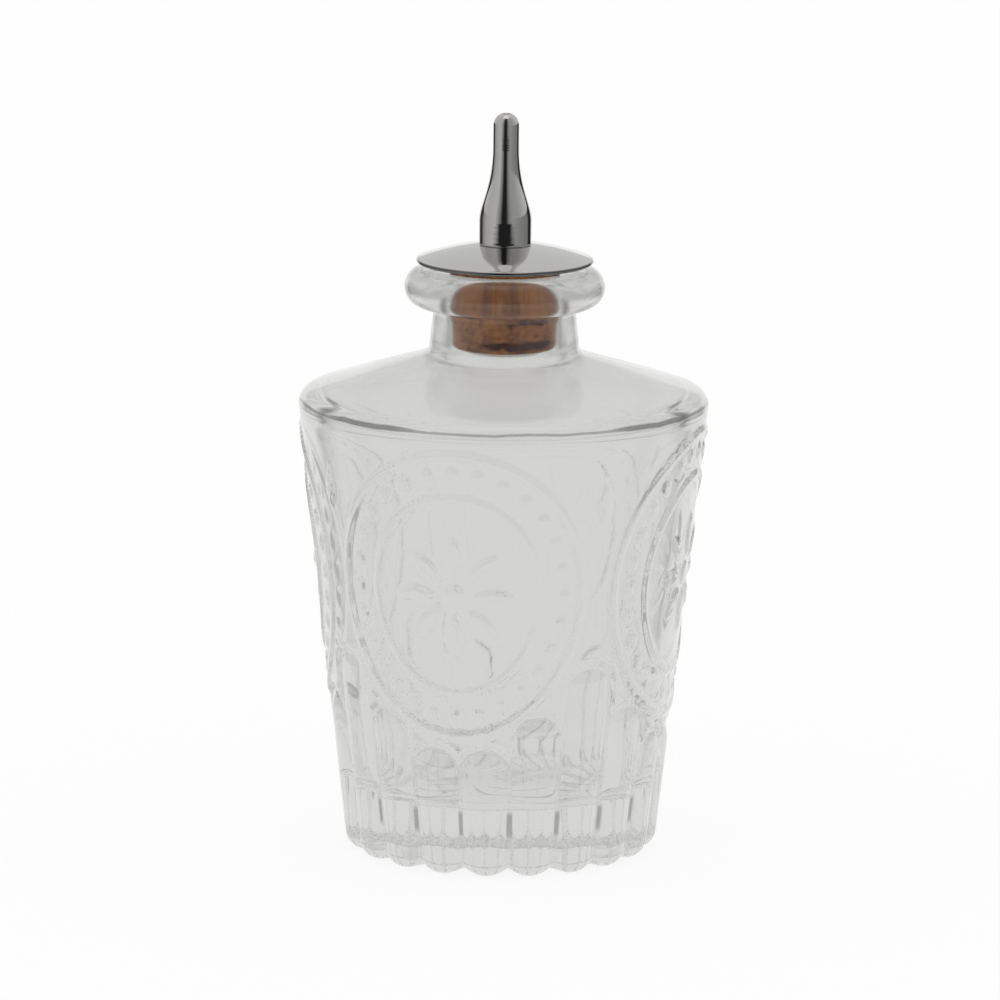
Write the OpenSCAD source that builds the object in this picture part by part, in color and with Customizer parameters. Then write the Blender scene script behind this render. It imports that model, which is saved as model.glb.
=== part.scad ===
// Glass bitters bottle with a cork stopper that carries a turned metal dasher spout.
// Origin: middle of the underside. +Z up, millimetres. One round medallion faces -Y.

/* [Bottle body] */
// Radius of the bare wall at the top of the foot's rounded edge
wall_foot_r = 28.2; // [26:0.1:30]
// Widest radius, at the shoulder's corner
shoulder_r = 36.9; // [34:0.1:40]
// Height of the widest ring of the shoulder's corner
shoulder_z = 81.5; // [76:0.5:88]
// Rounding of the shoulder's corner
shoulder_round = 2.4; // [1:0.1:4]
// Slope of the shoulder, in degrees
shoulder_slope = 17.4; // [10:0.2:22]
// Rounding under the foot
foot_round = 3.5; // [2:0.1:5]
// Glass thickness of the side wall
wall = 3.7; // [2.5:0.1:5]
// Glass thickness of the shoulder
shoulder_wall = 3; // [2.5:0.1:5]
// Thickness of the solid glass base
base_t = 12; // [7:0.5:18]
// Rounding inside at the foot of the cavity
cavity_round = 4; // [2:0.2:8]
// Radius of the shallow hollow under the base
punt_r = 15; // [8:0.5:18]
// Depth of the shallow hollow under the base
punt_depth = 0.8; // [0.3:0.1:2]

/* [Neck and lip] */
// Radius of the bore that takes the cork
bore_r = 9.95; // [8.5:0.05:10.5]
// Outer radius of the neck at the shoulder
neck_low_r = 13.45; // [12.6:0.05:15]
// Outer radius of the neck under the lip
neck_top_r = 12.75; // [12.2:0.05:14]
// Widest radius of the lip
lip_r = 18; // [17:0.1:19.5]
// Half height of the lip's rounded ring
lip_half = 3.45; // [2.5:0.05:4]
// Height of the mouth above the table
mouth_z = 106.1; // [100:0.1:112]
// Rounding between the lip's top and the bore
mouth_round = 3; // [2:0.1:3.4]

/* [Medallions] */
// How many medallions stand round the wall
medallions = 4; // [3:1:4]
// Height of the medallions' middle
medal_z = 52.5; // [48:0.5:56]
// Half width of the outer ring
medal_half_w = 22.1; // [18:0.1:22.4]
// Half height of the outer ring
medal_half_h = 26.6; // [24:0.1:27]
// How far the relief stands out from the wall
relief = 0.4; // [0.2:0.05:0.8]
// Width of the outer ring
outer_ring_w = 1.7; // [1:0.1:2.5]
// Distance from the outer ring's edge to the inner ring's edge
ring_step = 6.6; // [5.6:0.1:8]
// Width of the inner ring
inner_ring_w = 1.3; // [0.8:0.1:2]
// How many petals the flower in the middle has
petals = 8; // [5:1:10]
// Length of one petal
petal_len = 8.4; // [6:0.1:10]
// Width of one petal
petal_w = 3.6; // [2:0.1:4]
// Radius of the flower's round heart
heart_r = 2.4; // [1:0.1:3]
// Height of the kite between two medallions
kite_h = 8.8; // [5:0.1:11]
// Width of the kite between two medallions
kite_w = 3.6; // [2:0.1:5]
// Height of the kite's widest place
kite_z = 69; // [66:0.5:70]

/* [Reeds of the foot] */
// How many reeds stand round the foot, five to a quarter
reeds = 20; // [20:4:20]
// How far the reeds stand out from the bare wall
reed_relief = 0.3; // [0.2:0.05:0.6]
// Radius of the grooves between the reeds
groove_r = 3; // [2:0.1:4]
// Depth of the grooves at the foot
groove_depth = 2; // [1:0.1:2.4]
// Depth of the grooves at the top of the reeds between two medallions
groove_top_depth = 1.1; // [0.8:0.1:1.6]
// Height of the reeds between two medallions
reed_high = 34; // [30:0.5:38]
// Height of the reeds below a medallion
reed_low = 24.2; // [20:0.2:25]

/* [Stopper] */
// Radial gap between the cork and the bore at the mouth
cork_fit = 0.08; // [0.03:0.01:0.1]
// Radius of the cork at its lower end
cork_low_r = 9.45; // [8.2:0.05:9.6]
// Length of the cork
cork_len = 15.3; // [12:0.1:18]
// Chamfer round the cork's lower end
cork_chamfer = 0.9; // [0.3:0.1:1.5]
// Gap between the lip's top and the cap
cap_gap = 0.9; // [0.4:0.1:3]
// Radius of the cap
cap_r = 15.9; // [14:0.1:18]
// Thickness of the cap's rim
cap_rim_t = 0.85; // [0.6:0.05:1.5]
// Height of the cap's domed middle above its rim
cap_dome = 2.5; // [1:0.1:4]
// Radius of the washer under the cork
washer_r = 7.25; // [5:0.05:8]
// Thickness of the washer
washer_t = 0.8; // [0.5:0.1:1.5]

/* [Dasher spout] */
// Radius of the spout's round body
spout_r = 4.75; // [4.2:0.05:5.5]
// Height of the spout from the cap to its tip
spout_h = 23.6; // [21:0.1:28]
// Height of the straight part at the spout's foot
spout_straight = 4.2; // [3:0.1:6]
// Radius of the slim upper end
tip_r = 2.35; // [2:0.05:3]
// Length of the slim upper end that is nearly straight
tip_len = 6; // [4:0.1:8]
// Radius of the hole that drips
drip_r = 0.7; // [0.4:0.05:1]
// Outer radius of the tube through the cork
tube_r = 2.6; // [2:0.05:3]
// Radius of the channel in the tube
channel_r = 1.6; // [1:0.05:1.7]
// Length of the tube inside the spout
tube_in_spout = 4; // [3:0.1:6]
// Radius of the rim at the tube's lower end
tube_rim_r = 3.8; // [3.2:0.05:4.5]
// Thickness of the rim at the tube's lower end
tube_rim_t = 0.5; // [0.3:0.05:1]
// Radial gap between the tube and what it passes through
tube_fit = 0.03; // [0.02:0.01:0.08]

/* [Hidden] */
round_fn = 96;
small_fn = 32;
// Angle of a quarter turn
quarter = 90;
// Angle of a whole turn
turn = 360;
// Lets a cut run past the face that it opens
over = 1;

// Lean of the wall from upright, and how much its radius grows for each mm of height
wall_rise = shoulder_z - foot_round;
wall_slope = (shoulder_r - wall_foot_r) / wall_rise;
wall_lean = atan(wall_slope);
function wall_at(z) = wall_foot_r + wall_slope * (z - foot_round);

// Lip ring, and the height where the neck meets its underside
lip_z = mouth_z - lip_half;
lip_ring_r = lip_r - lip_half;
neck_join = 0.6;
// Where the lip's round underside starts, in degrees from level
lip_under = -75;
neck_top_z = lip_z - lip_half - neck_join;

// Shoulder cone, from the corner's upper end to the neck
corner_r = shoulder_r - shoulder_round;
cone_start_r = corner_r + shoulder_round * sin(shoulder_slope);
cone_start_z = shoulder_z + shoulder_round * cos(shoulder_slope);
function cone_z(r) = cone_start_z + (cone_start_r - r) * tan(shoulder_slope);
neck_fillet = 1.6;
// Where the mouth's rounding ends, in degrees from level, just short of the flat top
mouth_steep = 96;

// Cavity, whose wall and shoulder follow the outside at the glass thickness
inner_shift = wall / cos(wall_lean);
function cavity_at(z) = wall_at(z) - inner_shift;
function roof_z(r) = cone_z(r) - shoulder_wall / cos(shoulder_slope);
roof_corner_z = shoulder_z - shoulder_wall;
roof_corner_r = cavity_at(roof_corner_z);
bore_low_z = roof_z(bore_r);

// Grooves lean a little more than the wall, so they get shallower as they rise
reed_pitch = turn / reeds;
reed_turn = 45;
crest_foot_r = wall_foot_r + reed_relief;
groove_axis_r = crest_foot_r - groove_depth + groove_r;
groove_rise = reed_high - foot_round;
groove_lean = wall_lean + atan((groove_depth - groove_top_depth) / groove_rise);
reed_step_z = reed_low + 2 * reed_relief;
groove_tops = [reed_high, reed_low, reed_low, reed_low, reed_high];

// Medallion ovals are drawn with four arcs: two wide side arcs and two end arcs
end_arc_share = 0.86;
end_arc_r = medal_half_w * end_arc_share;
end_arc_y = medal_half_h - end_arc_r;
side_arc_gap = (end_arc_y * end_arc_y + medal_half_w * medal_half_w - end_arc_r * end_arc_r
    - 2 * medal_half_w * (medal_half_w - end_arc_r)) / (2 * (medal_half_w - end_arc_r));
side_arc_r = medal_half_w + side_arc_gap;
arc_meet_angle = atan(end_arc_y / side_arc_gap);
// Makes the end arcs cross the side arcs at a clear angle instead of just touching them
end_arc_more = 0.5;
// Gap between the flower's heart and its petals
petal_gap = 0.5;
// Share of the kite that lies above its widest place
kite_upper_share = 0.57;
// The skin that carries the relief, and how deep it starts inside the wall
relief_top_z = shoulder_z - over;
relief_low_z = medal_z - medal_half_h - over;
relief_sunk = 0.5;

// Stopper heights, from the mouth up and down
cap_z = mouth_z + cap_gap;
cork_low_z = cap_z - cork_len;
washer_z = cork_low_z - washer_t;
tube_low_z = washer_z - tube_rim_t;
spout_z = cap_z + cap_rim_t + cap_dome;
cork_mouth_r = bore_r - cork_fit;
cork_taper = (cork_mouth_r - cork_low_r) / (mouth_z - cork_low_z);
cork_top_r = cork_mouth_r + cork_taper * cap_gap;
spout_tip_z = spout_z + spout_h;
tube_top_z = spout_z + tube_in_spout;
tip_round_share = 0.65;
tip_round = tip_r * tip_round_share;
// Small bevel round the spout's foot
foot_bevel = 0.25;
// How far along the spout its two curve handles lie, and how far along the dome its own
body_handle = 0.24;
slim_handle = 0.44;
rim_handle = 0.77;
rim_handle_rise = 0.51;
seat_handle = 1.75;
seat_handle_drop = 0.16;

// Points of an arc about [cx, cy], from one angle to another
function arc(cx, cy, r, from, to, n = 12) =
    [for (i = [0:n]) let(a = from + (to - from) * i / n) [cx + r * cos(a), cy + r * sin(a)]];

// Points of a cubic curve through a and d, pulled towards b and c
function cubic(a, b, c, d, n = 14) =
    [for (i = [0:n]) let(t = i / n, s = 1 - t)
        a * s * s * s + 3 * b * s * s * t + 3 * c * s * t * t + d * t * t * t];

module ring(profile) {
    rotate_extrude($fn = round_fn) polygon(profile);
}

// Outside of the bottle, as one turned shape
module outer_shell() {
    neck_z = cone_z(neck_low_r);
    join_r = lip_ring_r - (lip_ring_r - neck_top_r) / 2;
    ring(concat(
        [[0, 0]],
        arc(crest_foot_r - foot_round, foot_round, foot_round, -quarter, 0),
        [[wall_at(reed_step_z) + reed_relief, reed_step_z]],
        [[wall_at(reed_step_z), reed_step_z + reed_relief]],
        arc(corner_r, shoulder_z, shoulder_round, -wall_lean, quarter - shoulder_slope),
        [[neck_low_r + neck_fillet, cone_z(neck_low_r + neck_fillet)]],
        [[neck_low_r, neck_z + neck_fillet], [neck_top_r, neck_top_z]],
        [[join_r, lip_z - lip_half + neck_join / 3]],
        arc(lip_ring_r, lip_z, lip_half, lip_under, quarter),
        [[0, mouth_z]]
    ));
}

// One groove between two reeds, its upper end rounded
module groove(top_z) {
    length = (top_z - groove_r - foot_round) / cos(groove_lean);
    translate([groove_axis_r, 0, foot_round])
        rotate([0, groove_lean, 0]) {
            translate([0, 0, -2 * foot_round])
                cylinder(r = groove_r, h = length + 2 * foot_round, $fn = round_fn);
            translate([0, 0, length]) sphere(r = groove_r, $fn = round_fn);
        }
}

module all_grooves() {
    for (i = [0:reeds - 1])
        rotate(reed_turn + (i + 0.5) * reed_pitch) groove(groove_tops[i % len(groove_tops)]);
}

// Inside of the bottle: floor, wall, roof, bore and the rounded mouth
module cavity() {
    low_r = cavity_at(base_t);
    roof_in_r = bore_r + neck_fillet;
    ring(concat(
        [[0, base_t], [low_r - cavity_round, base_t]],
        arc(low_r - cavity_round, base_t + cavity_round, cavity_round, -quarter, -wall_lean, 8),
        [[roof_corner_r, roof_corner_z], [roof_corner_r - shoulder_round / 2, roof_z(roof_corner_r)]],
        [[roof_in_r, roof_z(roof_in_r)], [bore_r, bore_low_z + neck_fillet]],
        arc(bore_r + mouth_round, mouth_z - mouth_round, mouth_round, 2 * quarter, mouth_steep, 8),
        [[bore_r + mouth_round, mouth_z + over], [0, mouth_z + over]]
    ));
}

module punt() {
    translate([0, 0, -over])
        cylinder(r = punt_r, h = punt_depth + over, $fn = round_fn);
}

// Flat oval of the medallion's outline, shrunk by inset
module oval(inset) {
    side_r = side_arc_r - inset;
    end_r = end_arc_r + end_arc_more - inset;
    band = side_r * sin(arc_meet_angle);
    intersection() {
        translate([-side_arc_gap, 0]) circle(r = side_r, $fn = round_fn);
        translate([side_arc_gap, 0]) circle(r = side_r, $fn = round_fn);
        square([2 * side_r, 2 * band], center = true);
    }
    for (s = [-1, 1])
        translate([0, s * (end_arc_y - end_arc_more)]) circle(r = end_r, $fn = round_fn);
}

module oval_ring(inset, width) {
    difference() {
        oval(inset);
        oval(inset + width);
    }
}

// A leaf shape with two pointed ends, standing on the origin
module petal() {
    leaf_r = (petal_len * petal_len + petal_w * petal_w) / (4 * petal_w);
    translate([0, petal_len / 2])
        intersection() {
            translate([leaf_r - petal_w / 2, 0]) circle(r = leaf_r, $fn = round_fn);
            translate([petal_w / 2 - leaf_r, 0]) circle(r = leaf_r, $fn = round_fn);
        }
}

module flower() {
    circle(r = heart_r, $fn = small_fn);
    for (i = [0:petals - 1])
        rotate(i * turn / petals) translate([0, heart_r + petal_gap]) petal();
}

module kite() {
    upper = kite_h * kite_upper_share;
    translate([0, kite_z - medal_z])
        polygon([[0, upper], [kite_w / 2, 0], [0, upper - kite_h], [-kite_w / 2, 0]]);
}

// Thin skin just outside the wall, where the relief stands
module relief_skin() {
    ring([
        [wall_at(relief_low_z) - relief_sunk, relief_low_z],
        [wall_at(relief_low_z) + relief, relief_low_z],
        [wall_at(relief_top_z) + relief, relief_top_z],
        [wall_at(relief_top_z) - relief_sunk, relief_top_z]
    ]);
}

// Carries a flat drawing onto the wall that faces -Y, at the medallions' height
module onto_wall() {
    translate([0, 0, medal_z]) rotate([quarter, 0, 0]) linear_extrude(shoulder_r + over) children();
}

module medallion() {
    intersection() {
        relief_skin();
        onto_wall() {
            oval_ring(0, outer_ring_w);
            oval_ring(ring_step, inner_ring_w);
            flower();
        }
    }
}

module kite_on_wall() {
    intersection() {
        relief_skin();
        onto_wall() kite();
    }
}

module glass_bottle() {
    color([0.83, 0.85, 0.84, 0.45])
        difference() {
            union() {
                difference() {
                    outer_shell();
                    all_grooves();
                }
                for (i = [0:medallions - 1]) {
                    rotate(i * turn / medallions) medallion();
                    rotate((i + 0.5) * turn / medallions) kite_on_wall();
                }
            }
            cavity();
            punt();
        }
}

module cork_stopper() {
    color("peru")
        difference() {
            ring([
                [0, cork_low_z],
                [cork_low_r - cork_chamfer, cork_low_z],
                [cork_low_r, cork_low_z + cork_chamfer],
                [cork_top_r, cap_z],
                [0, cap_z]
            ]);
            translate([0, 0, cork_low_z - over])
                cylinder(r = tube_r + tube_fit, h = cork_len + 2 * over, $fn = round_fn);
        }
}

module cap_disc() {
    rim_r = cap_rim_t / 2;
    flat_r = cap_r - rim_r;
    rim_top_z = cap_z + cap_rim_t;
    color("silver")
        difference() {
            ring(concat(
                [[0, cap_z]],
                arc(flat_r, cap_z + rim_r, rim_r, -quarter, quarter, 8),
                cubic([flat_r, rim_top_z], [flat_r * rim_handle, rim_top_z + cap_dome * rim_handle_rise],
                    [spout_r * seat_handle, spout_z - cap_dome * seat_handle_drop], [spout_r, spout_z], 8),
                [[0, spout_z]]
            ));
            translate([0, 0, cap_z - over])
                cylinder(r = tube_r + tube_fit, h = spout_z - cap_z + 2 * over, $fn = round_fn);
        }
}

module dasher_spout() {
    bend_z = spout_z + spout_straight;
    slim_z = spout_tip_z - tip_len;
    bend_len = slim_z - bend_z;
    color("silver")
        difference() {
            ring(concat(
                [[0, spout_z], [spout_r - foot_bevel, spout_z], [spout_r, spout_z + foot_bevel]],
                cubic([spout_r, bend_z], [spout_r, bend_z + bend_len * body_handle],
                    [tip_r, bend_z + bend_len * slim_handle], [tip_r, slim_z]),
                arc(tip_r - tip_round, spout_tip_z - tip_round, tip_round, 0, quarter, 8),
                [[0, spout_tip_z]]
            ));
            translate([0, 0, spout_z - over])
                cylinder(r = tube_r + tube_fit, h = tube_in_spout + over, $fn = round_fn);
            translate([0, 0, tube_top_z - over])
                cylinder(r = channel_r, h = bend_z + 2 * over - tube_top_z, $fn = round_fn);
            cylinder(r = drip_r, h = spout_tip_z + over, $fn = small_fn);
        }
}

module drip_tube() {
    color("gainsboro")
        difference() {
            union() {
                translate([0, 0, tube_low_z])
                    cylinder(r = tube_r, h = tube_top_z - tube_low_z, $fn = round_fn);
                translate([0, 0, tube_low_z])
                    cylinder(r = tube_rim_r, h = tube_rim_t, $fn = round_fn);
            }
            translate([0, 0, tube_low_z - over])
                cylinder(r = channel_r, h = tube_top_z - tube_low_z + 2 * over, $fn = round_fn);
        }
}

module tube_washer() {
    color("lightgray")
        difference() {
            translate([0, 0, washer_z]) cylinder(r = washer_r, h = washer_t, $fn = round_fn);
            translate([0, 0, washer_z - over])
                cylinder(r = tube_r + tube_fit, h = washer_t + 2 * over, $fn = round_fn);
        }
}

glass_bottle();
cork_stopper();
cap_disc();
dasher_spout();
drip_tube();
tube_washer();
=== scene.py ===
"""Looks of the glass bitters bottle: turned glass with pressed relief, cork and a polished dasher top."""

import math

import bpy
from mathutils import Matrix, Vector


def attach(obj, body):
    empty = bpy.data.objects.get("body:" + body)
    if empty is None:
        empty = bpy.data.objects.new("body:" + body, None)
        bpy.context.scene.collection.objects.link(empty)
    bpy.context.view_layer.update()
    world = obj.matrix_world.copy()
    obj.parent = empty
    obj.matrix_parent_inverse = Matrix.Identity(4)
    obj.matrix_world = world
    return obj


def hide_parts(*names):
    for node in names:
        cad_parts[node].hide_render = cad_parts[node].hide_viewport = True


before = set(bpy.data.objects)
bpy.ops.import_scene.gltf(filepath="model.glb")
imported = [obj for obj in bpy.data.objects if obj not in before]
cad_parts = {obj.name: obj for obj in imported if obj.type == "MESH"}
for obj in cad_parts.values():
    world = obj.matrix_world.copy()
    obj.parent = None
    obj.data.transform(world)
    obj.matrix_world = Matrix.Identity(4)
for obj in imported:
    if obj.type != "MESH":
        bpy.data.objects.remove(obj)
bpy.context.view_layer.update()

MM = 0.001
TURN = 2 * math.pi
scene = bpy.context.scene


# nodes as plain arithmetic


class Value:
    """A socket that can be used in an expression. Each step adds its Math node."""

    def __init__(self, net, link):
        self.net, self.link = net, link

    def __add__(self, other):
        return self.net.math("ADD", self, other)

    def __radd__(self, other):
        return self.net.math("ADD", other, self)

    def __sub__(self, other):
        return self.net.math("SUBTRACT", self, other)

    def __rsub__(self, other):
        return self.net.math("SUBTRACT", other, self)

    def __mul__(self, other):
        return self.net.math("MULTIPLY", self, other)

    def __rmul__(self, other):
        return self.net.math("MULTIPLY", other, self)

    def __truediv__(self, other):
        return self.net.math("DIVIDE", self, other)

    def __rtruediv__(self, other):
        return self.net.math("DIVIDE", other, self)

    def __pow__(self, other):
        return self.net.math("POWER", self, other)

    def __abs__(self):
        return self.net.math("ABSOLUTE", self)

    def __lt__(self, other):
        return self.net.math("LESS_THAN", self, other)


class Net:
    """A node tree that is filled by expressions and by one node-making method."""

    def __init__(self, tree):
        self.tree = tree
        tree.nodes.clear()

    def node(self, kind, settings=None, values=None, out=0):
        """Adds a node and gives its output, a list of outputs, or nothing where out is None."""
        made = self.tree.nodes.new(kind)
        for name, value in (settings or {}).items():
            if name == "stops":
                self.fill_ramp(made.color_ramp, value)
            else:
                setattr(made, name, value)
        for key, value in (values or {}).items():
            if isinstance(value, Value):
                self.tree.links.new(value.link, made.inputs[key])
            else:
                made.inputs[key].default_value = value
        if out is None:
            return None
        if isinstance(out, tuple):
            return [Value(self, made.outputs[o]) for o in out]
        return Value(self, made.outputs[out])

    def fill_ramp(self, ramp, stops):
        while len(ramp.elements) < len(stops):
            ramp.elements.new(0.5)
        for element, (place, colour) in zip(ramp.elements, stops):
            element.position = place
            element.color = (*colour, 1) if isinstance(colour, tuple) else (colour, colour, colour, 1)

    def math(self, operation, *values):
        return self.node("ShaderNodeMath", {"operation": operation}, dict(enumerate(values)))

    def least(self, a, b):
        return self.math("MINIMUM", a, b)

    def most(self, a, b):
        return self.math("MAXIMUM", a, b)

    def root(self, a):
        return self.math("SQRT", a)

    def smooth(self, value, low, high, at_low=0.0, at_high=1.0):
        """Smooth step from at_low to at_high while value goes from low to high."""
        return self.node("ShaderNodeMapRange", {"interpolation_type": "SMOOTHSTEP"},
                         {0: value, 1: low, 2: high, 3: at_low, 4: at_high})

    def split(self, vector):
        return self.node("ShaderNodeSeparateXYZ", None, {0: vector}, out=(0, 1, 2))

    def stretch(self, vector, x, y, z):
        return self.node("ShaderNodeVectorMath", {"operation": "MULTIPLY"}, {0: vector, 1: (x, y, z)})

    def noise(self, vector, scale, detail, roughness, offset):
        """Noise from 0 to 1. A different offset gives a different, fixed pattern."""
        return self.node("ShaderNodeTexNoise", {"noise_dimensions": "4D"},
                         {"Vector": vector, "W": offset, "Scale": scale, "Detail": detail,
                          "Roughness": roughness})

    def mix(self, factor, a, b):
        """Colour between a and b."""
        return self.node("ShaderNodeMix", {"data_type": "RGBA"}, {0: factor, 6: a, 7: b}, out=2)


# sizes, in millimetres, as in the CAD source

FOOT_R, SHOULDER_R, SHOULDER_Z, FOOT_ROUND = 28.2, 36.9, 81.5, 3.5
SHOULDER_ROUND, SHOULDER_SLOPE = 2.4, math.radians(17.4)
WALL, SHOULDER_WALL, BASE_T, CAVITY_ROUND = 3.7, 3.0, 12.0, 4.0
PUNT_R, PUNT_DEPTH = 15.0, 0.8
BORE_R, NECK_LOW_R, NECK_TOP_R = 9.95, 13.45, 12.75
LIP_R, LIP_HALF, MOUTH_Z, MOUTH_ROUND = 18.0, 3.45, 106.1, 3.0
MEDAL_Z, CREST, FILLET = 52.5, 0.3, 1.6

SLOPE = (SHOULDER_R - FOOT_R) / (SHOULDER_Z - FOOT_ROUND)
LEAN = math.atan(SLOPE)
CORNER_R = SHOULDER_R - SHOULDER_ROUND
LIP_RING_R, LIP_Z = LIP_R - LIP_HALF, MOUTH_Z - LIP_HALF
NECK_TOP_Z = LIP_Z - LIP_HALF - 0.6
CONE_R = CORNER_R + SHOULDER_ROUND * math.sin(SHOULDER_SLOPE)
CONE_Z = SHOULDER_Z + SHOULDER_ROUND * math.cos(SHOULDER_SLOPE)

CAP_Z, CORK_LEN, CORK_LOW_R, CORK_FIT = MOUTH_Z + 0.9, 15.3, 9.45, 0.08
CORK_LOW_Z = CAP_Z - CORK_LEN
CAP_R, CAP_RIM_T, CAP_DOME = 15.9, 0.85, 2.5
SPOUT_Z = CAP_Z + CAP_RIM_T + CAP_DOME
SPOUT_R, TIP_R, SPOUT_TOP_Z, TIP_LEN, DRIP_R = 4.75, 2.35, SPOUT_Z + 23.6, 6.0, 0.7
BEND_Z = SPOUT_Z + 4.2
TUBE_R, CHANNEL_R, TUBE_RIM_R, TUBE_RIM_T, TUBE_FIT = 2.6, 1.6, 3.8, 0.5, 0.03
WASHER_R, WASHER_T = 7.25, 0.8
TUBE_TOP_Z = SPOUT_Z + 4
TUBE_LOW_Z = CORK_LOW_Z - WASHER_T - TUBE_RIM_T

# Relief: radius of the wall at the medallions and at the kites, and a kite's reach up and down
MEDAL_WALL_R, KITE_WALL_R, KITE_UP, KITE_DOWN = 33.66, 35.4, 5.0, 3.8
# Reeds: height of the one between two medallions and of the two beside it, and how much lower the rest are
REEDS = 20
REED_PITCH = TURN / REEDS
REED_GROOVE = TURN / 8 + REED_PITCH / 2
TALL_REED_Z, NEXT_REED_Z, LOW_REED_DROP = 39.0, 30.5, 6.3
# Mould seam, painted as a dark line of painted shade: its height, and the direction of one of its four
# darker stretches
SEAM_Z, SEAM_MARK = 82.4, math.radians(62.8)
# The glass turns rougher and even from the body, up to the first height, to the neck, from the second
NECK_FROM_Z, NECK_FULL_Z = 84, 88
# Cracks round part of the cork: height, direction and half reach in degrees, and a seed
CRACKS = (
    (CORK_LOW_Z + 1.5, -58, 50, 2.0),
    (CORK_LOW_Z + 6.2, -45, 20, 5.3),
    (CORK_LOW_Z + 3.0, 120, 60, 8.1),
)

# Camera, its aim and the floor, in metres
CAMERA_TURN, CAMERA_ROLL = math.radians(14.5), math.radians(0.53)
CAMERA_AWAY, CAMERA_HEIGHT, CAMERA_LENS = 1.300, 0.32895, 264.7
AIM_LEFT, AIM_HEIGHT = 0.0005, 0.0635
FLOOR_HALF = 8.0
# How bright the pale surroundings are where glass shows them
THROUGH_GLASS = 0.66


def wall_r(z):
    return FOOT_R + SLOPE * (z - FOOT_ROUND)


def cone_z(r):
    return CONE_Z + (CONE_R - r) * math.tan(SHOULDER_SLOPE)


def roof_z(r):
    return cone_z(r) - SHOULDER_WALL / math.cos(SHOULDER_SLOPE)


def cavity_r(z):
    return wall_r(z) - WALL / math.cos(LEAN)


# turned shapes


def arc(r, z, radius, start, end, steps):
    """Points of an arc in a profile, from one angle in degrees to another."""
    turns = [math.radians(start + (end - start) * i / steps) for i in range(steps + 1)]
    return [(r + radius * math.cos(t), z + radius * math.sin(t)) for t in turns]


def straight(a, b, steps):
    """Points of a line, without its two ends."""
    shares = [i / steps for i in range(1, steps)]
    return [(a[0] + (b[0] - a[0]) * t, a[1] + (b[1] - a[1]) * t) for t in shares]


def curve(a, b, c, d, steps):
    """Points of a cubic curve from a to d, pulled towards b and c."""
    found = []
    for i in range(steps + 1):
        t = i / steps
        s = 1 - t
        weights = (s ** 3, 3 * s * s * t, 3 * s * t * t, t ** 3)
        found.append(tuple(sum(w * p[k] for w, p in zip(weights, (a, b, c, d))) for k in (0, 1)))
    return found


def corner(before, at, after, steps=4):
    """A rounded corner from before to after."""
    return curve(before, tuple((before[k] + 2 * at[k]) / 3 for k in (0, 1)),
                 tuple((after[k] + 2 * at[k]) / 3 for k in (0, 1)), after, steps)


def soften(profile, size, closed=True):
    """Gives each corner of a profile a small round of that size."""
    rounded = []
    count = len(profile)
    for i, at in enumerate(profile):
        last, following = profile[i - 1], profile[(i + 1) % count]
        ends = []
        for other in (last, following):
            length = math.dist(at, other)
            share = min(size, length / 2.5) / length
            ends.append(tuple(at[k] + (other[k] - at[k]) * share for k in (0, 1)))
        rounded += corner(ends[0], at, ends[1], 3)
    return rounded


def turned_faces(rows, closed):
    """Faces between neighbouring rows of a turned shape. A row of one point is a pole."""
    starts = [0]
    for _, _, columns in rows:
        starts.append(starts[-1] + columns)

    def row_part(start, own, other, i):
        """Points of a row along face i. The row beside it may have fewer columns."""
        if own == 1:
            return [start]
        step = max(1, own // other) if other > 1 else 1
        return [start + (i * step + s) % own for s in range(step + 1)]

    faces = []
    for k in range(len(rows) if closed else len(rows) - 1):
        following = (k + 1) % len(rows)
        n, m = rows[k][2], rows[following][2]
        for i in range(min(n, m) if min(n, m) > 1 else max(n, m)):
            faces.append(row_part(starts[k], n, m, i) + row_part(starts[following], m, n, i)[::-1])
    return faces


def turned(name, rows, closed=True):
    """A mesh turned about the upright axis. rows are (radius, height, columns), in millimetres."""
    points = []
    for r, z, columns in rows:
        points += [(r * MM * math.cos(TURN * i / columns), r * MM * math.sin(TURN * i / columns), z * MM)
                   if columns > 1 else (0, 0, z * MM) for i in range(columns)]
    mesh = bpy.data.meshes.new(name)
    mesh.from_pydata(points, [], turned_faces(rows, closed))
    mesh.shade_smooth()
    made = bpy.data.objects.new(name, mesh)
    scene.collection.objects.link(made)
    return made


def row_attribute(obj, name, rows, values):
    """Gives every point of a row that row's value."""
    spread = [v for (_, _, columns), v in zip(rows, values) for _ in range(columns)]
    obj.data.attributes.new(name, "FLOAT", "POINT").data.foreach_set("value", spread)


# Geometry Nodes


def geometry_net(name, sizes):
    """A Geometry Nodes tree with one named input for each size."""
    tree = bpy.data.node_groups.new(name, "GeometryNodeTree")
    tree.interface.new_socket("Geometry", in_out="INPUT", socket_type="NodeSocketGeometry")
    tree.interface.new_socket("Geometry", in_out="OUTPUT", socket_type="NodeSocketGeometry")
    for size in sizes:
        tree.interface.new_socket(size, in_out="INPUT", socket_type="NodeSocketFloat")
    net = Net(tree)
    read = net.node("NodeGroupInput", out=tuple(range(len(sizes) + 1)))
    return net, read[0], dict(zip(sizes, read[1:]))


def close_net(net, geometry, offset, material):
    """Moves every point along its normal by offset millimetres and gives the result its material."""
    normal = net.node("GeometryNodeInputNormal")
    moved = net.node("ShaderNodeVectorMath", {"operation": "SCALE"}, {0: normal, 3: offset * MM})
    geometry = net.node("GeometryNodeSetPosition", None, {"Geometry": geometry, "Offset": moved})
    geometry = net.node("GeometryNodeRealizeInstances", None, {0: geometry})
    geometry = net.node("GeometryNodeSetMaterial", None, {0: geometry, 2: material})
    net.node("NodeGroupOutput", None, {0: geometry}, out=None)


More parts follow.
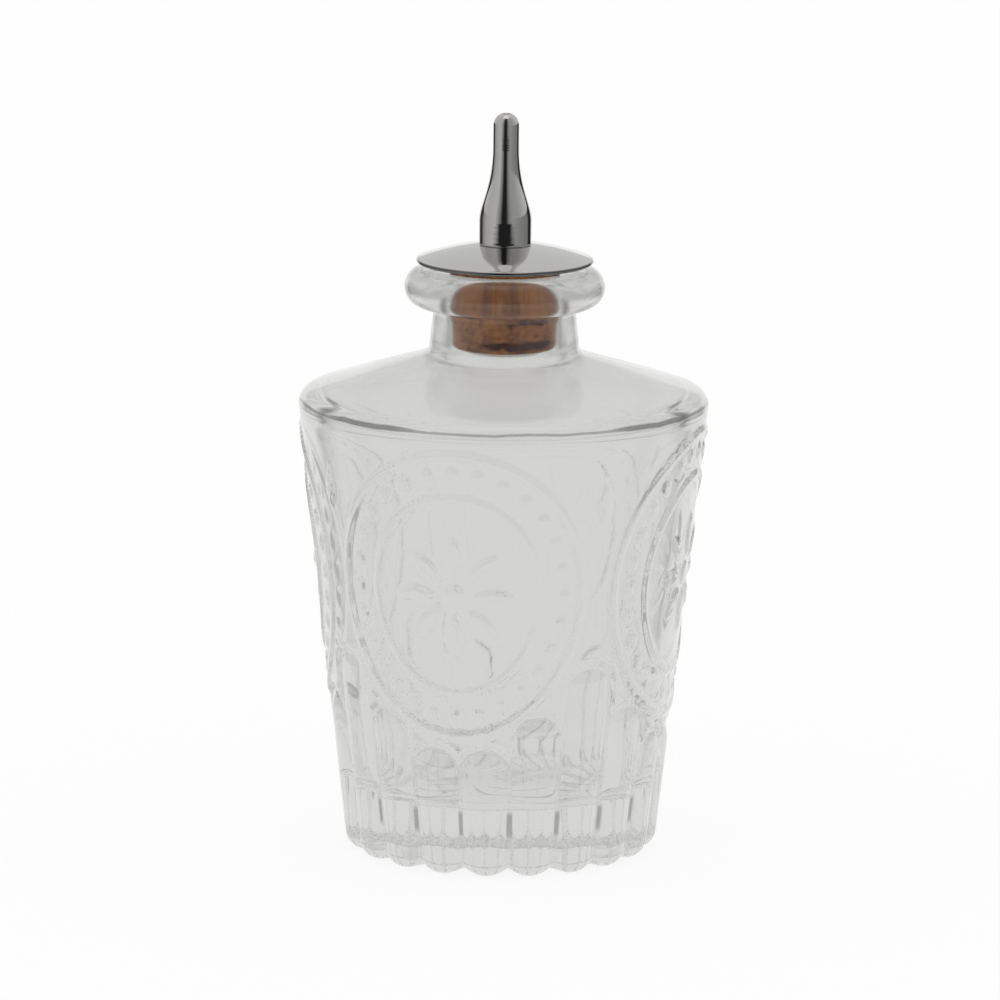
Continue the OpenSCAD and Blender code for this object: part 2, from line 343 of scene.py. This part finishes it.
def set_by_tree(obj, net, sizes):
    """Runs the tree on obj and keeps its result as a plain mesh."""
    modifier = obj.modifiers.new(net.tree.name, "NODES")
    modifier.node_group = net.tree
    for item in net.tree.interface.items_tree:
        if item.in_out == "INPUT" and item.name in sizes:
            modifier[item.identifier] = float(sizes[item.name])
    result = obj.evaluated_get(bpy.context.evaluated_depsgraph_get())
    mesh = bpy.data.meshes.new_from_object(result)
    obj.modifiers.remove(modifier)
    obj.data = mesh
    mesh.shade_smooth()
    return obj


# materials


def material_net(name):
    material = bpy.data.materials.new(name)
    material.use_nodes = True
    net = Net(material.node_tree)
    place = net.node("ShaderNodeTexCoord", out="Object")
    return material, net, net.stretch(place, 1 / MM, 1 / MM, 1 / MM)


def finish_material(net, values):
    surface = net.node("ShaderNodeBsdfPrincipled", None, values)
    net.node("ShaderNodeOutputMaterial", None, {0: surface}, out=None)


def bump(net, height, strength, distance=MM):
    values = {"Strength": strength, "Distance": distance, "Height": height}
    return net.node("ShaderNodeBump", None, values)


def clear_glass():
    material, net, place = material_net("clear_glass")
    waves = net.noise(place, 0.16, 2, 0.5, 3.0)
    patches = net.noise(place, 0.05, 1, 0.5, 7.0)
    tint = net.mix(patches, (0.972, 0.977, 0.960, 1), (0.982, 0.984, 0.968, 1))
    x, y, z = net.split(place)
    angle = net.math("ARCTAN2", y, x)

    # Mould seam at the shoulder, painted as a dark line in the glass colour: painted shade for the dark its
    # ridge shows by refraction, wider and darker along four stretches
    from_mark = abs(net.math("WRAP", angle - SEAM_MARK, TURN / 8, -TURN / 8))
    mark = net.smooth(from_mark, 0.34, 0.16)
    seam_z = SEAM_Z + (net.noise(net.stretch(place, 1, 1, 0), 0.10, 2, 0.6, 4.0) - 0.5) * 0.9
    half = 0.30 + mark * 0.3
    outside = net.smooth(net.root(x * x + y * y), 33.5, 34.0)
    painted_seam_shade = net.smooth(abs(z - seam_z), half, half * 0.5) * outside * (0.7 + mark * 0.2)

    # Painted shade: the grooves in the solid foot are painted darker, as shade in their deep valleys
    from_groove = abs(net.math("WRAP", angle - REED_GROOVE, REED_PITCH / 2, REED_PITCH / -2)) * FOOT_R
    half = 0.25 + net.noise(net.stretch(place, 1, 1, 0), 0.3, 1, 0.5, 6.0) * 0.9
    painted_groove_shade = net.smooth(from_groove, half, half * 0.4) * 0.75
    painted_groove_shade = painted_groove_shade * net.smooth(z, 6.8, 8.4) * net.smooth(z, 13.0, 11.6)

    # Roughness grows upwards from the clear foot, and the underside is stippled
    stipple = net.smooth(z, 0.6, 0.0)
    rough = net.smooth(net.noise(place, 0.4, 3, 0.6, 5.0), 0.3, 0.8, 0.0, 0.02)
    rough = rough + net.smooth(z, 12, 18) * 0.05 + net.smooth(z, NECK_FROM_Z, NECK_FULL_Z) * 0.08
    finish_material(net, {
        # The glass colour turns near black under the painted seam shade and the painted groove shade
        "Base Color": net.mix(net.most(painted_seam_shade, painted_groove_shade), tint, (0.05, 0.052, 0.05, 1)),
        "Roughness": net.most(rough, stipple * 0.22),
        "IOR": 1.5,
        "Transmission Weight": 1.0,
        "Normal": bump(net, waves, 0.03),
    })
    return material


def polished_metal():
    material, net, place = material_net("polished_metal")
    smudge = net.noise(place, 0.25, 4, 0.6, 2.0)
    x, y, z = net.split(place)
    shine = net.mix(smudge, (0.60, 0.595, 0.585, 1), (0.64, 0.635, 0.625, 1))
    # The cap's rim is painted darker than its top: a painted reflection of dark surroundings in its rolled
    # edge
    rim = net.smooth(z, CAP_Z + CAP_RIM_T, CAP_Z + CAP_RIM_T * 0.7)
    rim = rim * net.smooth(net.root(x * x + y * y), CAP_R - 1.2, CAP_R - 0.7)
    finish_material(net, {
        "Base Color": net.mix(rim * 0.85, shine, (0.05, 0.05, 0.05, 1)),
        "Metallic": 1.0,
        "Roughness": net.smooth(smudge, 0.3, 0.75, 0.02, 0.07),
        "Normal": bump(net, net.noise(net.stretch(place, 0.3, 0.3, 6), 1.0, 2, 0.5, 9.0), 0.01),
    })
    return material


def plain_steel():
    material, net, place = material_net("plain_steel")
    lines = net.noise(net.stretch(place, 0.2, 0.2, 9), 1.0, 3, 0.6, 4.0)
    finish_material(net, {
        "Base Color": net.mix(lines, (0.56, 0.55, 0.53, 1), (0.68, 0.67, 0.65, 1)),
        "Metallic": 1.0,
        "Roughness": net.smooth(lines, 0.3, 0.7, 0.22, 0.4),
        "Normal": bump(net, lines, 0.05),
    })
    return material


def cork_cracks(net, place):
    """Ragged cracks, each round part of the cork: height, direction, half its reach and a seed."""
    x, y, z = net.split(place)
    angle = net.math("ARCTAN2", y, x)
    share = 0
    for height, middle, reach, seed in CRACKS:
        path = height + (net.noise(net.stretch(place, 0.35, 0.35, 0.0), 1.0, 4, 0.75, seed) - 0.5) * 2.6
        off = abs(net.math("WRAP", angle - math.radians(middle), math.pi, -math.pi))
        thick = net.noise(net.stretch(place, 0.6, 0.6, 0.6), 1.0, 3, 0.6, seed + 2) * 1.9
        thick = thick * net.smooth(off, math.radians(reach), math.radians(reach * 0.5))
        share = net.most(share, net.smooth(abs(z - path), thick, thick * 0.4 - 0.02))
    return share


def natural_cork():
    material, net, place = material_net("natural_cork")
    bands = net.noise(net.stretch(place, 0.4, 0.4, 0.2), 1.0, 3, 0.6, 1.0)
    grain = net.noise(place, 1.6, 4, 0.65, 8.0)
    pits = net.smooth(net.noise(net.stretch(place, 0.5, 0.5, 1.5), 1.0, 3, 0.6, 6.0), 0.56, 0.67)
    body = net.mix(net.smooth(bands, 0.38, 0.62), (0.18, 0.060, 0.017, 1), (0.36, 0.142, 0.043, 1))
    body = net.mix(net.smooth(grain, 0.45, 0.8), body, (0.42, 0.185, 0.068, 1))
    body = net.mix(pits * 0.8, body, (0.07, 0.012, 0.001, 1))
    # The cracks are cut into the geometry and also painted near black: painted shade inside them
    body = net.mix(cork_cracks(net, place), body, (0.06, 0.006, 0, 1))
    finish_material(net, {
        "Base Color": body,
        "Roughness": 0.85,
        "Specular IOR Level": 0.1,
        "Normal": bump(net, grain * 0.3 - pits, 0.4, 0.4 * MM),
    })
    return material


# the glass

# Columns of the rows that carry relief, and of the plain rows
GLASS_FINE, GLASS_PLAIN = 560, 140
# The reeds' crest stands out from the wall up to the first height, and not at all above the second
RISE_LOW_Z, RISE_HIGH_Z = 44.0, 56.0
# Grooves between the reeds: where they start under the foot, and their depths upwards from there
GROOVE_START_R, GROOVE_KNEE_Z = 19.2, 24.0
UNDER_DEPTH, EDGE_DEPTH, KNEE_DEPTH = 1.5, 2.0, 1.3
UNDERSIDE_RADII = (17.5, GROOVE_START_R, 20.4, 21.4, 22.3, 23.1, 23.8, 24.4)


def groove_depth(z):
    if z < GROOVE_KNEE_Z:
        return EDGE_DEPTH - 0.034 * (z - FOOT_ROUND)
    return KNEE_DEPTH - 0.0133 * (z - GROOVE_KNEE_Z)


def glass_rows():
    """Profile rows of the glass and, for each, its rise over the wall, groove depth and relief share."""
    rows, facts = [], []

    def add(points, columns, rise=0.0, depth=0.0, relief=0.0):
        for r, z in points:
            rows.append((r, z, columns))
            facts.append((rise, depth, relief))

    # Underside and foot
    add([(0, PUNT_DEPTH)], 1)
    add([(5, PUNT_DEPTH), (10, PUNT_DEPTH)], GLASS_PLAIN)
    add(corner((PUNT_R - 1.2, PUNT_DEPTH), (PUNT_R - 0.3, PUNT_DEPTH), (PUNT_R, 0.5), 4), GLASS_PLAIN)
    add(corner((PUNT_R, 0.3), (PUNT_R, 0), (PUNT_R + 0.3, 0), 3), GLASS_PLAIN)
    crest_r = FOOT_R + CREST - FOOT_ROUND
    for r in UNDERSIDE_RADII:
        share = max(0.0, (r - GROOVE_START_R) / (crest_r - GROOVE_START_R))
        add([(r, 0)], GLASS_FINE, CREST, UNDER_DEPTH * share ** 1.5)
    for i, point in enumerate(arc(crest_r, FOOT_ROUND, FOOT_ROUND, -90, 0, 8)):
        add([point], GLASS_FINE, CREST, UNDER_DEPTH + (EDGE_DEPTH - UNDER_DEPTH) * i / 8)

    # Wall, shoulder and neck
    z = FOOT_ROUND
    while z < SHOULDER_Z - 1.2:
        z += 0.7 if z < 20 else 0.62
        rise = CREST * min(1.0, max(0.0, (RISE_HIGH_Z - z) / (RISE_HIGH_Z - RISE_LOW_Z)))
        add([(wall_r(z) + rise, z)], GLASS_FINE, rise, groove_depth(z), 1.0)
    corner_end = 90 - math.degrees(SHOULDER_SLOPE)
    add(arc(CORNER_R, SHOULDER_Z, SHOULDER_ROUND, -math.degrees(LEAN), corner_end, 10), GLASS_PLAIN)
    low = NECK_LOW_R + FILLET
    add(straight((CONE_R, CONE_Z), (low, cone_z(low)), 9), GLASS_PLAIN)
    neck_z = cone_z(NECK_LOW_R)
    add(corner((low, cone_z(low)), (NECK_LOW_R, neck_z), (NECK_LOW_R, neck_z + FILLET), 6), GLASS_PLAIN)
    add(straight((NECK_LOW_R, neck_z + FILLET), (NECK_TOP_R, NECK_TOP_Z), 6), GLASS_PLAIN)

    # Lip and bore
    lip = arc(LIP_RING_R, LIP_Z, LIP_HALF, -68, 90, 22)
    add(corner((NECK_TOP_R, NECK_TOP_Z), (NECK_TOP_R + 0.2, NECK_TOP_Z + 0.9), lip[0], 4), GLASS_PLAIN)
    add(lip[1:], GLASS_PLAIN)
    add(straight((LIP_RING_R, MOUTH_Z), (BORE_R + MOUTH_ROUND, MOUTH_Z), 3), GLASS_PLAIN)
    add(arc(BORE_R + MOUTH_ROUND, MOUTH_Z - MOUTH_ROUND, MOUTH_ROUND, 90, 180, 7), GLASS_PLAIN)
    roof_in, bore_low = BORE_R + FILLET, roof_z(BORE_R)
    add(straight((BORE_R, MOUTH_Z - MOUTH_ROUND), (BORE_R, bore_low + FILLET), 7), GLASS_PLAIN)
    roof_start = (roof_in, roof_z(roof_in))
    add(corner((BORE_R, bore_low + FILLET), (BORE_R, bore_low), roof_start, 6), GLASS_PLAIN)

    # Cavity, from its roof down to its floor
    corner_z = SHOULDER_Z - SHOULDER_WALL
    corner_r = cavity_r(corner_z)
    out_r = corner_r - 1.4
    wall_top = (cavity_r(corner_z - 1.2), corner_z - 1.2)
    add(straight(roof_start, (out_r, roof_z(out_r)), 9), GLASS_PLAIN)
    add(corner((out_r, roof_z(out_r)), (corner_r, roof_z(corner_r)), wall_top, 7), GLASS_PLAIN)
    floor_r = cavity_r(BASE_T)
    turn = arc(floor_r - CAVITY_ROUND, BASE_T + CAVITY_ROUND, CAVITY_ROUND, -math.degrees(LEAN), -90, 9)
    add(straight(wall_top, turn[0], 30), GLASS_PLAIN)
    add(turn, GLASS_PLAIN)
    add([(floor_r - CAVITY_ROUND - 4, BASE_T), (10, BASE_T), (5, BASE_T)], GLASS_PLAIN)
    add([(0, BASE_T)], 1)
    return rows, facts


def ellipse_gap(net, u, v, half_w, half_h):
    """How far a point lies inside an ellipse, near its edge."""
    share = net.root((u / half_w) ** 2 + (v / half_h) ** 2)
    steep = net.root((u / (half_w ** 2)) ** 2 + (v / (half_h ** 2)) ** 2)
    return (1 - share) * share / net.most(steep, 0.001)


GLASS_SIZES = {
    "Relief": 0.4,
    "Medal half width": 24.0,
    "Medal half height": 26.6,
    "Outer ring width": 1.7,
    "Inner ring inset": 7.9,
    "Inner ring width": 1.4,
    "Bead inset": 4.2,
    "Bead radius": 1.35,
    "Bead height": 0.32,
    "Beads": 28,
    "Petals": 8,
    "Heart radius": 2.4,
    "Petal length": 8.4,
    "Petal width": 3.6,
    "Kite height": 69,
    "Kite half width": 1.8,
    "Reed crest": CREST,
    "Waviness": 0.02,
    "Seed": 11,
}


def glass_net(material):
    """Pressed relief: medallions of rings, beads and a flower, kites between them, and the foot's reeds."""
    net, geometry, size = geometry_net("pressed_relief", GLASS_SIZES)
    place = net.stretch(net.node("GeometryNodeInputPosition"), 1 / MM, 1 / MM, 1 / MM)
    x, y, z = net.split(place)

    def row_value(name):
        return net.node("GeometryNodeInputNamedAttribute", {"data_type": "FLOAT"}, {"Name": name})

    angle = net.math("ARCTAN2", y, x)
    radius = FOOT_R + SLOPE * (z - FOOT_ROUND)
    quarter = TURN / 4

    def fold(start, step):
        """Signed angle from the nearest of equally spaced directions."""
        return net.math("WRAP", angle - start, step / 2, -step / 2)

    # Medallions, measured along the wall
    u, v = fold(0, quarter) * MEDAL_WALL_R, z - MEDAL_Z

    def ring(inset, width):
        gap = ellipse_gap(net, u, v, size["Medal half width"] - inset, size["Medal half height"] - inset)
        off = abs(gap - width / 2) / (width / 2)
        return net.smooth(off, 1.1, 0.5)

    outer_ring = ring(0.0, size["Outer ring width"])
    rings = net.most(outer_ring, ring(size["Inner ring inset"], size["Inner ring width"]))
    bead_w = size["Medal half width"] - size["Bead inset"]
    bead_h = size["Medal half height"] - size["Bead inset"]
    step = TURN / size["Beads"]
    nearest = net.math("ROUND", net.math("ARCTAN2", v / bead_h, u / bead_w) / step) * step
    aside = u - bead_w * net.math("COSINE", nearest)
    above = v - bead_h * net.math("SINE", nearest)
    away = net.root(aside ** 2 + above ** 2)
    bead = net.root(net.most(1 - (away / size["Bead radius"]) ** 2, 0.0)) * size["Bead height"]

    # Flower in the middle
    out = net.root(u ** 2 + v ** 2)
    petal_step = TURN / size["Petals"]
    turn = net.math("WRAP", net.math("ARCTAN2", u, v), petal_step / 2, petal_step * -0.5)
    along = (out * net.math("COSINE", turn) - size["Heart radius"] - 0.5) / size["Petal length"] * 2 - 1
    across = abs(out * net.math("SINE", turn))
    petal = net.smooth(size["Petal width"] / 2 * (1 - along ** 2) - across, 0.0, 0.9)
    heart = net.smooth(out, size["Heart radius"], size["Heart radius"] - 0.9)

    # Kites between the medallions
    side, over = abs(fold(quarter / 2, quarter) * KITE_WALL_R), z - size["Kite height"]
    reach = net.least(1 - over / KITE_UP, 1 + over / KITE_DOWN)
    kite = net.smooth(size["Kite half width"] * reach - side, 0.0, 0.8)
    shapes = net.most(net.most(rings, petal), net.most(heart, kite)) * size["Relief"]
    relief = net.most(shapes, bead) * row_value("relief_share")

    # Reeds of the foot, each with a round top
    half = radius * (REED_PITCH / 2)
    reed_side = fold(quarter / 2, REED_PITCH) * radius
    from_gap = abs(fold(quarter / 2, quarter)) / REED_PITCH
    top = net.smooth(from_gap, 0.45, 0.55, TALL_REED_Z, NEXT_REED_Z)
    top = top - net.smooth(from_gap, 1.45, 1.55, 0.0, LOW_REED_DROP)
    beyond = net.most(z - (top - half), 0.0)
    off = net.root(reed_side ** 2 + beyond ** 2) / half
    valley = size["Reed crest"] - row_value("reed_depth")
    lobe = size["Reed crest"] - row_value("reed_depth") * net.least(off, 1.0) ** 2
    outside = valley * net.smooth((off - 1) * half, 0.0, 1.0, 1.0, 0.0)
    reeds = net.math("MULTIPLY_ADD", off < 1.0, lobe - outside, outside)
    waves = (net.noise(place, 0.09, 2, 0.5, size["Seed"]) - 0.5) * size["Waviness"] * 2
    wavy = net.smooth(z, FOOT_ROUND, 16.0) * (1 - row_value("neck_share"))
    offset = relief + reeds * row_value("reed_share") - row_value("rise") + waves * wavy
    close_net(net, geometry, offset, material)
    return net


def make_glass(material):
    rows, facts = glass_rows()
    glass = turned("bottle_glass", rows, closed=False)
    row_attribute(glass, "rise", rows, [f[0] for f in facts])
    row_attribute(glass, "reed_depth", rows, [f[1] for f in facts])
    row_attribute(glass, "relief_share", rows, [f[2] for f in facts])
    row_attribute(glass, "reed_share", rows, [1.0 if f[1] > 0 else 0.0 for f in facts])
    up_neck = [(z - NECK_FROM_Z) / (NECK_FULL_Z - NECK_FROM_Z) for _, z, _ in rows]
    row_attribute(glass, "neck_share", rows, [min(1.0, max(0.0, share)) for share in up_neck])
    return set_by_tree(glass, glass_net(material), GLASS_SIZES)


# the stopper

METAL_COLUMNS = 256


def closed_rows(profile, columns):
    return [(r, z, columns) for r, z in profile]


def make_cap(material):
    rim = CAP_RIM_T / 2
    flat = CAP_R - rim
    top = CAP_Z + CAP_RIM_T
    bore = TUBE_R + TUBE_FIT
    outside = arc(flat, CAP_Z + rim, rim, -90, 90, 14)
    rim_pull = (flat * 0.77, top + CAP_DOME * 0.51)
    seat_pull = (SPOUT_R * 1.75, SPOUT_Z - CAP_DOME * 0.16)
    dome = curve((flat, top), rim_pull, seat_pull, (SPOUT_R, SPOUT_Z), 40)
    under = straight((bore, CAP_Z), (flat, CAP_Z), 6)
    profile = [(bore, CAP_Z), *under, *outside, *dome[1:], (bore, SPOUT_Z)]
    cap = turned("cap", closed_rows(profile, METAL_COLUMNS))
    cap.data.materials.append(material)
    cap.data.set_sharp_from_angle(angle=math.radians(35))
    return cap


def make_spout(material):
    slim_z = SPOUT_TOP_Z - TIP_LEN
    length = slim_z - BEND_Z
    low_pull, high_pull = (SPOUT_R, BEND_Z + length * 0.24), (TIP_R, BEND_Z + length * 0.44)
    body = curve((SPOUT_R, BEND_Z), low_pull, high_pull, (TIP_R, slim_z), 56)
    hole = math.acos((DRIP_R + 0.15) / TIP_R)
    tip = arc(0, SPOUT_TOP_Z - TIP_R * math.sin(hole), TIP_R, 0, math.degrees(hole), 18)
    foot = corner((SPOUT_R - 0.3, SPOUT_Z), (SPOUT_R, SPOUT_Z), (SPOUT_R, SPOUT_Z + 0.3), 5)
    bore = TUBE_R + TUBE_FIT
    profile = [
        (bore, SPOUT_Z), *foot, *straight(foot[-1], body[0], 8), *body, *tip,
        (DRIP_R, SPOUT_TOP_Z - 0.15), (DRIP_R, BEND_Z + 2),
        (CHANNEL_R, BEND_Z + 1), (CHANNEL_R, TUBE_TOP_Z), (bore, TUBE_TOP_Z),
    ]
    spout = turned("spout", closed_rows(profile, METAL_COLUMNS))
    spout.data.materials.append(material)
    spout.data.set_sharp_from_angle(angle=math.radians(35))
    return spout


def make_tube(material):
    profile = soften([
        (CHANNEL_R, TUBE_LOW_Z), (TUBE_RIM_R, TUBE_LOW_Z), (TUBE_RIM_R, TUBE_LOW_Z + TUBE_RIM_T),
        (TUBE_R, TUBE_LOW_Z + TUBE_RIM_T), (TUBE_R, TUBE_TOP_Z), (CHANNEL_R, TUBE_TOP_Z),
    ], 0.15)
    tube = turned("tube", closed_rows(profile, 96))
    tube.data.materials.append(material)
    return tube


def make_washer(material):
    low, bore = CORK_LOW_Z - WASHER_T, TUBE_R + TUBE_FIT
    profile = soften([(bore, low), (WASHER_R, low), (WASHER_R, CORK_LOW_Z), (bore, CORK_LOW_Z)], 0.25)
    washer = turned("washer", closed_rows(profile, 128))
    washer.data.materials.append(material)
    return washer


CORK_SIZES = {"Pit depth": 0.35, "Crack depth": 0.9, "Roughness depth": 0.06, "Seed": 23}


def cork_net(material):
    """Pits and cracks of natural cork, all cut inwards so that the cork never grows."""
    net, geometry, size = geometry_net("cork_pits", CORK_SIZES)
    place = net.stretch(net.node("GeometryNodeInputPosition"), 1 / MM, 1 / MM, 1 / MM)
    share = net.node("GeometryNodeInputNamedAttribute", {"data_type": "FLOAT"}, {"Name": "side_share"})
    pits = net.smooth(net.noise(net.stretch(place, 0.5, 0.5, 1.5), 1.0, 3, 0.6, 6.0), 0.60, 0.68)
    layers = net.noise(net.stretch(place, 0.16, 0.16, 0.9), 1.0, 3, 0.6, size["Seed"])
    cracks = net.smooth(layers, 0.62, 0.70)
    rough = net.noise(place, 0.8, 4, 0.6, size["Seed"] + 5)
    cracks = net.most(cracks, cork_cracks(net, place))
    cut = pits * size["Pit depth"] + cracks * size["Crack depth"] + rough * size["Roughness depth"]
    close_net(net, geometry, cut * share * -1, material)
    return net


def make_cork(material):
    low, high = CORK_LOW_Z, CAP_Z
    bore = TUBE_R + TUBE_FIT
    mouth_r = BORE_R - CORK_FIT
    taper = (mouth_r - CORK_LOW_R) / (MOUTH_Z - low)
    heights = [low + 0.9 + (high - low - 1.1) * i / 60 for i in range(61)]
    side = [(CORK_LOW_R + taper * (z - low), z) for z in heights]
    profile = [
        (bore, low), *straight((bore, low), (CORK_LOW_R - 0.9, low), 6),
        *corner((CORK_LOW_R - 0.9, low), (CORK_LOW_R - 0.1, low + 0.1), side[0], 5), *side[1:],
        (side[-1][0] - 0.2, high), *straight((side[-1][0] - 0.2, high), (bore, high), 6), (bore, high),
        *straight((bore, high), (bore, low), 8),
    ]
    rows = closed_rows(profile, 240)
    cork = turned("cork", rows)
    on_side = [1.0 if r > CORK_LOW_R - 1 and z < high - 0.1 else 0.0 for r, z in profile]
    row_attribute(cork, "side_share", rows, on_side)
    return set_by_tree(cork, cork_net(material), CORK_SIZES)


# studio


def seen_through(net):
    """1 on a ray from the camera that has passed glass, 0 on the light that falls on the pieces."""
    through, scattered = net.node("ShaderNodeLightPath", out=("Is Transmission Ray", "Diffuse Depth"))
    return through * (scattered < 0.5)


def make_floor():
    """Pale floor, white to the camera, the metal and the glass, that keeps the object's soft shadow."""
    mesh = bpy.data.meshes.new("floor")
    corners = ((-1, -1), (1, -1), (1, 1), (-1, 1))
    mesh.from_pydata([(x * FLOOR_HALF, y * FLOOR_HALF, 0) for x, y in corners], [], [(0, 1, 2, 3)])
    made = bpy.data.objects.new("floor", mesh)
    scene.collection.objects.link(made)
    material = bpy.data.materials.new("pale_floor")
    material.use_nodes = True
    net = Net(material.node_tree)
    through = seen_through(net)
    seen = net.node("ShaderNodeLightPath", out=("Is Camera Ray", "Is Glossy Ray"))
    white = net.most(net.most(seen[0], seen[1]) * 0.88, through * 0.96)
    paper = net.node("ShaderNodeBsdfDiffuse", None, {"Color": (0.93, 0.93, 0.93, 1)})
    strength = 1 - (1 - THROUGH_GLASS) * through
    glow = net.node("ShaderNodeEmission", None, {"Color": (1, 1, 1, 1), "Strength": strength})
    surface = net.node("ShaderNodeMixShader", None, {0: white, 1: paper, 2: glow})
    net.node("ShaderNodeOutputMaterial", None, {0: surface}, out=None)
    mesh.materials.append(material)


def make_world():
    world = bpy.data.worlds.new("studio")
    scene.world = world
    world.use_nodes = True
    net = Net(world.node_tree)
    light = net.node("ShaderNodeBackground", None, {
        "Color": (1, 1, 1, 1), "Strength": 1 - (1 - THROUGH_GLASS) * seen_through(net)})
    net.node("ShaderNodeOutputWorld", None, {0: light}, out=None)


def make_card(name, edges, stops, in_glass=False):
    """A round card about the object, which shows only in reflections or, with in_glass, through glass.

    edges are the radius and height of its two edges. stops are (degrees, shade) pairs from one end of the
    card to the other, with the degrees counted from the camera, to the right positive."""
    columns = 96
    first, last = stops[0][0], stops[-1][0]
    degrees = [first + (last - first) * i / columns for i in range(columns + 1)]
    turns = [CAMERA_TURN - TURN / 4 + math.radians(d) for d in degrees]
    points = [(radius * math.cos(t), radius * math.sin(t), z) for radius, z in edges for t in turns]
    faces = [(i, i + 1, columns + i + 2, columns + i + 1) for i in range(columns)]
    mesh = bpy.data.meshes.new(name)
    mesh.from_pydata(points, [], faces)
    made = bpy.data.objects.new(name, mesh)
    scene.collection.objects.link(made)
    material = bpy.data.materials.new(name)
    material.use_nodes = True
    net = Net(material.node_tree)
    x, y, _ = net.split(net.node("ShaderNodeTexCoord", out="Object"))
    c, s = math.cos(CAMERA_TURN), math.sin(CAMERA_TURN)
    around = net.math("ARCTAN2", x * c + y * s, x * s - y * c) / TURN + 0.5
    ramp = [(0.5 + d / 360, shade) for d, shade in stops]
    shade = net.node("ShaderNodeValToRGB", {"stops": ramp}, {0: around})
    surface = net.node("ShaderNodeEmission", None, {"Color": shade})
    if in_glass:
        clear = net.node("ShaderNodeBsdfTransparent")
        surface = net.node("ShaderNodeMixShader", None, {0: seen_through(net), 1: clear, 2: surface})
    net.node("ShaderNodeOutputMaterial", None, {0: surface}, out=None)
    mesh.materials.append(material)
    made.visible_camera = made.visible_diffuse = False
    made.visible_shadow = made.visible_volume_scatter = False
    made.visible_glossy, made.visible_transmission = not in_glass, in_glass


def make_camera():
    data = bpy.data.cameras.new("camera")
    camera = bpy.data.objects.new("camera", data)
    scene.collection.objects.link(camera)
    data.lens, data.sensor_width = CAMERA_LENS, 36.0
    c, s = math.cos(CAMERA_TURN), math.sin(CAMERA_TURN)
    camera.location = (CAMERA_AWAY * s, -CAMERA_AWAY * c, CAMERA_HEIGHT)
    aim = Vector((-AIM_LEFT * c, -AIM_LEFT * s, AIM_HEIGHT))
    look = (aim - camera.location).to_track_quat("-Z", "Y")
    camera.rotation_mode = "QUATERNION"
    camera.rotation_quaternion = look @ Matrix.Rotation(CAMERA_ROLL, 3, "Z").to_quaternion()
    scene.camera = camera


scene.view_settings.view_transform = "Standard"
# Light crosses many glass surfaces here, and a path that is cut short leaves a black stroke
scene.cycles.max_bounces = scene.cycles.transmission_bounces = 32
scene.cycles.glossy_bounces = 32
make_camera()
make_world()
make_floor()
# Cards that the metal reflects
make_card("reflected_cards", ((0.40, 0.001), (0.40, 0.16)), [
    (-180, 1.0), (-150, 1.0), (-142, 0.05), (-120, 0.05), (-112, 0.32), (-90, 0.52),
    (-45, 0.62), (-27, 0.30), (-14, 0.02), (4, 0.02), (16, 0.26), (30, 0.40), (60, 0.32),
    (112, 0.24), (118, 0.03), (142, 0.03), (150, 1.0), (180, 1.0)])
make_card("upper_cards", ((0.40, 0.16), (0.40, 1.20)), [
    (-180, 0.72), (-120, 0.66), (-90, 0.56), (-45, 0.62), (-27, 0.30), (-14, 0.02),
    (4, 0.02), (16, 0.26), (30, 0.40), (60, 0.42), (120, 0.68), (180, 0.72)])
make_card("front_low", ((0.39, 0.001), (0.39, 0.045)), [
    (-56, 0.5), (-40, 0.02), (34, 0.02), (50, 0.4)])
make_card("front_high", ((0.38, 0.045), (0.38, 0.075)), [
    (-40, 0.5), (-26, 0.02), (20, 0.02), (34, 0.36)])
# Dark flags behind the object's sides, which draw the edges of the glass
for side, name in ((-1, "left"), (1, "right")):
    for part, low, high, dark in (("_low_flag", 0.001, 0.055, 0.36), ("_high_flag", 0.055, 0.30, 0.20)):
        flag = [(104, THROUGH_GLASS), (112, dark), (120, dark), (129, THROUGH_GLASS)]
        stops = sorted((side * d, shade) for d, shade in flag)
        make_card(name + part, ((0.13, low), (0.13, high)), stops, in_glass=True)

glass = make_glass(clear_glass())
metal, steel = polished_metal(), plain_steel()
cap, spout = make_cap(metal), make_spout(metal)
tube, washer = make_tube(steel), make_washer(steel)
cork = make_cork(natural_cork())

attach(glass, "bottle")
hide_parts("glass_bottle")
for piece, node, slot in ((cork, "cork_stopper", "natural_cork"), (cap, "cap_disc", "polished_metal"),
                          (spout, "dasher_spout", "polished_metal"), (tube, "drip_tube", "plain_steel"),
                          (washer, "tube_washer", "plain_steel")):
    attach(piece, "stopper")
    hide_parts(node)
